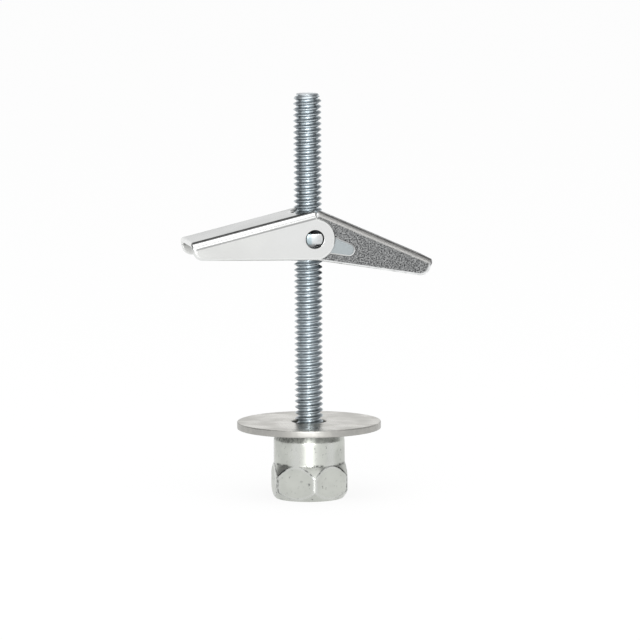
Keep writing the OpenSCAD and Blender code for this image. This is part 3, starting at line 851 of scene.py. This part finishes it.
def finish_for(name, pieces, zinc, lines=None, tones_and_painted_light=(), rim=None, painted_shade=None, bump=0.02,
               stretch=(1.0, 1.0, 1.0), turn=(0.0, 0.0, 0.0)):
    """Metal material for some pieces, from the groups' values. Each entry of tones and painted light is
    (mark, from, to, amount, colour), the painted shade is (mark, values), and stretch and turn lay the drawn
    lines along the metal.
    The node tree is returned, for a finish that goes on."""
    material = bpy.data.materials.new(name)
    material.use_nodes = True
    tree = material.node_tree
    shader = tree.nodes["Principled BSDF"]
    shader.inputs["Metallic"].default_value = 1.0
    place = node(tree, "ShaderNodeTexCoord").outputs["Object"]

    def marked(mark):
        """A mark that the piece carries, as an output socket."""
        return node(tree, "ShaderNodeAttribute", {"attribute_name": mark}).outputs["Fac"]

    def placed(group, sockets):
        """A group on Object coordinates, unless the sockets say another place: its outputs."""
        return node(tree, "ShaderNodeGroup", {"node_tree": group}, {"Place": place} | sockets).outputs

    made = placed(clouded, zinc)
    colour, rough, height = made["Color"], made["Roughness"], made["Height"]
    if lines:
        sockets = {"Vector": place, "Scale": stretch, "Rotation": turn}
        along = node(tree, "ShaderNodeMapping", None, sockets).outputs[0]
        made = placed(drawn, {"Place": along, "Color": colour} | lines)
        colour, height = made["Color"], made["Height"]
    for mark, low, high, share, tint in tones_and_painted_light:
        colour = mix(tree, span(tree, marked(mark), low, high, 0.0, share), colour, tint)
    if rim:
        made = placed(rim_group, {"Color": colour, "Roughness": rough, "Rim": marked("rim")} | rim)
        colour, rough = made["Color"], made["Roughness"]
    if painted_shade:
        mark, values = painted_shade
        colour = placed(shade_group, {"Color": colour, "Shade": marked(mark)} | values)["Color"]
    sockets = {"Height": height, "Strength": bump * BUMP_STRENGTH, "Distance": bump * MM}
    relief = node(tree, "ShaderNodeBump", None, sockets)
    tree.links.new(colour, shader.inputs["Base Color"])
    tree.links.new(rough, shader.inputs["Roughness"])
    tree.links.new(relief.outputs[0], shader.inputs["Normal"])
    for piece in pieces:
        piece.data.materials.append(material)
    print("finish", name, "nodes", len(tree.nodes), "on", [piece.name for piece in pieces])
    return tree

print("groups at hand:", [group.name for group in (clouded, drawn, rim_group, shade_group)])

# %% [markdown]
# The coupler is satin and faintly warm, with painted shade round the flats, on the ears between them and on
# the bevel under the washer. The washer is warm, with rolling lines on top, a grey sheared rim and painted
# shade on its underside.

# %% Coupler and washer finishes
finish_for("coupler_zinc", [coupler, socket], {
    "Bright": (0.585, 0.60, 0.56, 1), "Dull": (0.505, 0.52, 0.485, 1), "Cloud Scale": 170.0,
    "Speck Scale": 1300.0, "Speck Share": 0.34, "Speck Depth": 0.75, "Shine": 0.28, "Haze": 0.38},
    rim={"Rim Color": (0.61, 0.62, 0.60, 1), "Rim Roughness": 0.22},
    painted_shade=("painted_shade", {"Shade Color": (0.07, 0.072, 0.068, 1), "Speck Scale": 1500.0, "Between Specks": 0.3}))
finish_for("washer_zinc", [washer], {
    "Bright": (0.68, 0.665, 0.62, 1), "Dull": (0.60, 0.585, 0.545, 1), "Cloud Scale": 120.0,
    "Speck Scale": 1800.0, "Speck Share": 0.15, "Speck Depth": 0.3, "Shine": 0.25, "Haze": 0.36},
    lines={"Line Color": (0.40, 0.39, 0.36, 1), "Scale": 900.0, "Amount": 0.35},
    rim={"Rim Color": (0.41, 0.405, 0.385, 1), "Rim Roughness": 0.4},
    painted_shade=("painted_shade", {"Shade Color": (0.18, 0.18, 0.175, 1), "Speck Scale": 1200.0, "Between Specks": 0.7}),
    stretch=(0.05, 1.0, 1.0), turn=(0.0, 0.0, 0.5))

# %% [markdown]
# The stud is blue-white, with painted shade on its flanks, down in the thread, that leaves the crests and the
# roots bright: the mark called flank is 1 halfway down the thread. The spring is drawn wire.

# %% Stud and spring finishes
finish_for("stud_zinc", [stud], {
    "Bright": (0.685, 0.745, 0.775, 1), "Dull": (0.63, 0.69, 0.72, 1), "Cloud Scale": 260.0,
    "Speck Scale": 1700.0, "Speck Share": 0.1, "Speck Depth": 0.3, "Shine": 0.3, "Haze": 0.38},
    painted_shade=("flank", {"Shade Color": (0.22, 0.245, 0.265, 1), "Speck Scale": 900.0, "Between Specks": 0.7}), bump=0.005)
finish_for("spring_steel", [coils, left_legs, right_legs], {
    "Bright": (0.30, 0.31, 0.33, 1), "Dull": (0.18, 0.185, 0.2, 1), "Cloud Scale": 600.0,
    "Speck Share": 0.2, "Shine": 0.25, "Haze": 0.4},
    lines={"Line Color": (0.10, 0.10, 0.11, 1), "Scale": 1500.0, "Amount": 0.5}, stretch=(0.1, 1.0, 1.0))

# %% [markdown]
# The wings share one recipe with different values. Both get a painted highlight along the folds and a thin
# painted shade line along each. The left wing is bright and smooth and darkens towards its tip: its height
# above the pivot tells the painted shade line under the fold, the painted highlight on the fold and the
# duller back apart. The right one has a fine dark speckle, which the press took off the tongue; the tongue's
# edge gets a painted highlight. On both, the rims get a painted highlight and the pivot hole painted shade.

# %% Wing finishes
finish_for("bright_wing_zinc", [left_wing], {
    "Bright": (0.72, 0.725, 0.72, 1), "Dull": (0.66, 0.665, 0.655, 1), "Cloud Scale": 80.0,
    "Speck Scale": 1500.0, "Speck Share": 0.12, "Speck Depth": 0.25, "Shine": 0.17, "Haze": 0.23},
    # Darker towards the tip, a painted shade line under the fold, a painted highlight on the fold and a
    # duller back.
    tones_and_painted_light=[
        ("reach", 0.2, 0.9, 0.6, (0.62, 0.625, 0.61, 1)), ("rise", 4.2, 4.35, 1.0, (0.38, 0.385, 0.38, 1)),
        ("rise", 4.6, 4.75, 0.95, (0.88, 0.885, 0.88, 1)), ("rise", 5.95, 6.08, 1.0, (0.53, 0.54, 0.535, 1))],
    rim={"Rim Color": (0.80, 0.81, 0.80, 1), "Rim Roughness": 0.2},
    painted_shade=("line", {"Shade Color": grey(0.03), "Speck Scale": 700.0, "Between Specks": 0.85}))
finish_for("mottled_wing_zinc", [right_wing], {
    "Bright": (0.37, 0.375, 0.375, 1), "Dull": (0.01, 0.011, 0.012, 1), "Cloud Scale": 3300.0,
    "Speck Scale": 2400.0, "Speck Share": 0.8, "Speck Depth": 0.9, "Shine": 0.36, "Haze": 0.5},
    # Painted highlights on the fold and on the tongue's edge, and the tongue's own blue-grey.
    tones_and_painted_light=[
        ("fold", 0.1, 0.7, 0.85, (0.78, 0.77, 0.75, 1)), ("tongue", 0.05, 0.3, 1.0, (0.88, 0.89, 0.89, 1)),
        ("tongue", 0.8, 1.0, 1.0, (0.32, 0.35, 0.36, 1))],
    rim={"Rim Color": (0.86, 0.87, 0.87, 1), "Rim Roughness": 0.22},
    painted_shade=("line", {"Shade Color": grey(0.05), "Speck Scale": 700.0, "Between Specks": 0.7}), bump=0.03)

# %% [markdown]
# The nut's lugs were sheared off the strip: the shear first burnishes the cut end and then tears it,
# so one side of each end is bright and the other blue-grey. The nut's own coordinates tell the side.

# %% Nut finish
TORN_FROM, TORN_TO, TORN_SHARE, TORN_COLOUR = -0.4, -0.9, 0.8, (0.30, 0.38, 0.41, 1)
tree = finish_for("nut_zinc", [nut], {
    "Bright": (0.66, 0.665, 0.665, 1), "Dull": (0.50, 0.52, 0.525, 1), "Cloud Scale": 420.0,
    "Speck Share": 0.3, "Shine": 0.28, "Haze": 0.42})
base_colour = tree.nodes["Principled BSDF"].inputs["Base Color"]
plate_colour = base_colour.links[0].from_socket
place = node(tree, "ShaderNodeTexCoord").outputs["Object"]
side = node(tree, "ShaderNodeSeparateXYZ", None, {0: place}).outputs["X"]
torn = span(tree, side, TORN_FROM * MM, TORN_TO * MM, 0.0, TORN_SHARE)
tree.links.new(mix(tree, torn, plate_colour, TORN_COLOUR), base_colour)

# %% [markdown]
# ## The stage
#
# A white floor and surround, the same for the camera and for reflections, give the metal something
# bright to show; part of the floor's white is plain paper, so the bolt's shadow stays on it. High
# up, the surround is darker, as a studio's ceiling is: that draws the dark lines along the folds.

# %% Floor and surround
FLOOR_HALF, PAPER_GREY, MATTE_ROUGH, GLOW_SHARE = 5, 0.95, 0.9, 0.88
CEILING_FROM, CEILING_TO, CEILING_GREY, ROOM_GREY = 0.34, 0.5, 0.36, 0.85

def matte(name, level):
    """Plain matte material of a grey level."""
    material = bpy.data.materials.new(name)
    material.use_nodes = True
    shader = material.node_tree.nodes["Principled BSDF"]
    shader.inputs["Base Color"].default_value = grey(level)
    shader.inputs["Roughness"].default_value = MATTE_ROUGH
    return material

def sheet_of(name, corners, material):
    """One flat quad of the stage."""
    mesh = bpy.data.meshes.new(name)
    mesh.from_pydata(corners, [], [(0, 1, 2, 3)])
    mesh.materials.append(material)
    made = bpy.data.objects.new(name, mesh)
    scene.collection.objects.link(made)
    return made

def seen_rays(tree):
    """1 for rays from the camera, from a reflection or through glass, as an output socket."""
    rays = node(tree, "ShaderNodeLightPath").outputs
    seen = maths(tree, "MAXIMUM", rays["Is Camera Ray"], rays["Is Glossy Ray"])
    return maths(tree, "MAXIMUM", seen, rays["Is Transmission Ray"])

paper = matte("paper", PAPER_GREY)
tree = paper.node_tree
glow = node(tree, "ShaderNodeEmission", None, {"Color": grey(1), "Strength": 1.0}).outputs[0]
share = maths(tree, "MULTIPLY", seen_rays(tree), GLOW_SHARE)
plain = tree.nodes["Principled BSDF"].outputs[0]
both = node(tree, "ShaderNodeMixShader", None, {0: share, 1: plain, 2: glow}).outputs[0]
tree.links.new(both, tree.nodes["Material Output"].inputs["Surface"])
corners = [(-1, -1), (1, -1), (1, 1), (-1, 1)]
sheet_of("floor", [(x * FLOOR_HALF, y * FLOOR_HALF, 0) for x, y in corners], paper)

world = bpy.data.worlds.new("studio")
scene.world = world
world.use_nodes = True
tree = world.node_tree
ray_at = node(tree, "ShaderNodeTexCoord").outputs["Generated"]
height = node(tree, "ShaderNodeSeparateXYZ", None, {0: ray_at}).outputs["Z"]
surround = mix(tree, span(tree, height, CEILING_FROM, CEILING_TO, 0.0, 1.0), grey(1), grey(CEILING_GREY))
light = mix(tree, seen_rays(tree), grey(ROOM_GREY), surround)
tree.links.new(light, tree.nodes["Background"].inputs["Color"])
scene.view_settings.view_transform = "Standard"
print("floor nodes", len(paper.node_tree.nodes), "surround nodes", len(tree.nodes))

# %% [markdown]
# Bright metal in a white room has no edges of its own, so a photographer stands a grey card on either
# side. The thread mirrors the cards and turns dark towards its sides, while its middle stays bright.
# Only reflections see the cards: they cast no shadow and never stand in a view's way.

# %% Side cards
CARD_GREY, CARD_SIDE, CARD_FRONT, CARD_REAR, CARD_LOW, CARD_TOP = 0.13, 0.11, -0.05, 0.055, 0.024, 0.16
card_grey = matte("card_grey", CARD_GREY)
to_back = -direction(AZIMUTH, 0.0)
for name, side in (("left_card", -CARD_SIDE), ("right_card", CARD_SIDE)):
    corners = [(CARD_FRONT, CARD_LOW), (CARD_REAR, CARD_LOW), (CARD_REAR, CARD_TOP), (CARD_FRONT, CARD_TOP)]
    corners = [tuple(to_right * side + to_back * y + Vector((0.0, 0.0, z))) for y, z in corners]
    card = sheet_of(name, corners, card_grey)
    card.visible_camera = card.visible_diffuse = card.visible_shadow = False
    print(name, "at", [round(x, 3) for x in to_right * side])

# %% [markdown]
# Two soft lamps stand in front, a low one for the bright band down the collar and along the washer's
# rim, and a high one for the folds of the wings.

# %% Lamps
LAMP_AIM = Vector((0.0, 0.0, 0.045))

def soft_lamp(name, azimuth, elevation, distance, width, tall, power):
    """Oblong area lamp that looks at the bolt's middle from an azimuth and a height in degrees."""
    lamp = bpy.data.objects.new(name, bpy.data.lights.new(name, "AREA"))
    lamp.data.shape, lamp.data.size, lamp.data.size_y, lamp.data.energy = "RECTANGLE", width, tall, power
    lamp.visible_camera = False
    stand(lamp, LAMP_AIM, direction(azimuth, elevation), distance)
    print(name, "power", power)

soft_lamp("low_lamp", azimuth=-12.5, elevation=4.0, distance=0.7, width=0.32, tall=0.18, power=2.0)
soft_lamp("high_lamp", azimuth=-12.5, elevation=58.0, distance=0.8, width=0.9, tall=0.72, power=2.9)
